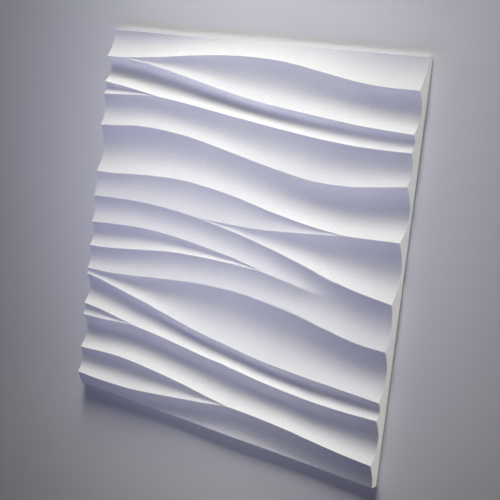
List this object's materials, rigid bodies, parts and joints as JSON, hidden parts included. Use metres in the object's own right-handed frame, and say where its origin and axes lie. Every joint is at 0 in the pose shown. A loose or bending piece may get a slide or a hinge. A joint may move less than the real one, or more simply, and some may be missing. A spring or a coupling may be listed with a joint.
{
  "type": "3d wall panel tile",
  "caption": "Square white gypsum plaster wall panel with a flat back and a relief of long flowing dune-like waves with sharp crests.",
  "frame": {"origin": "centre of the flat back face", "axes": "+Z out of the back towards the relief, as the panel lies face up; +X along the waves towards the picture's right edge; +Y across the waves towards the edge that is uppermost on the wall"},
  "size_m": [0.6, 0.6, 0.0226],
  "materials": {
    "plaster": "matt white cast gypsum plaster"
  },
  "bodies": {
    "root": {"wave_panel": "plaster"}
  },
  "joints": []
}
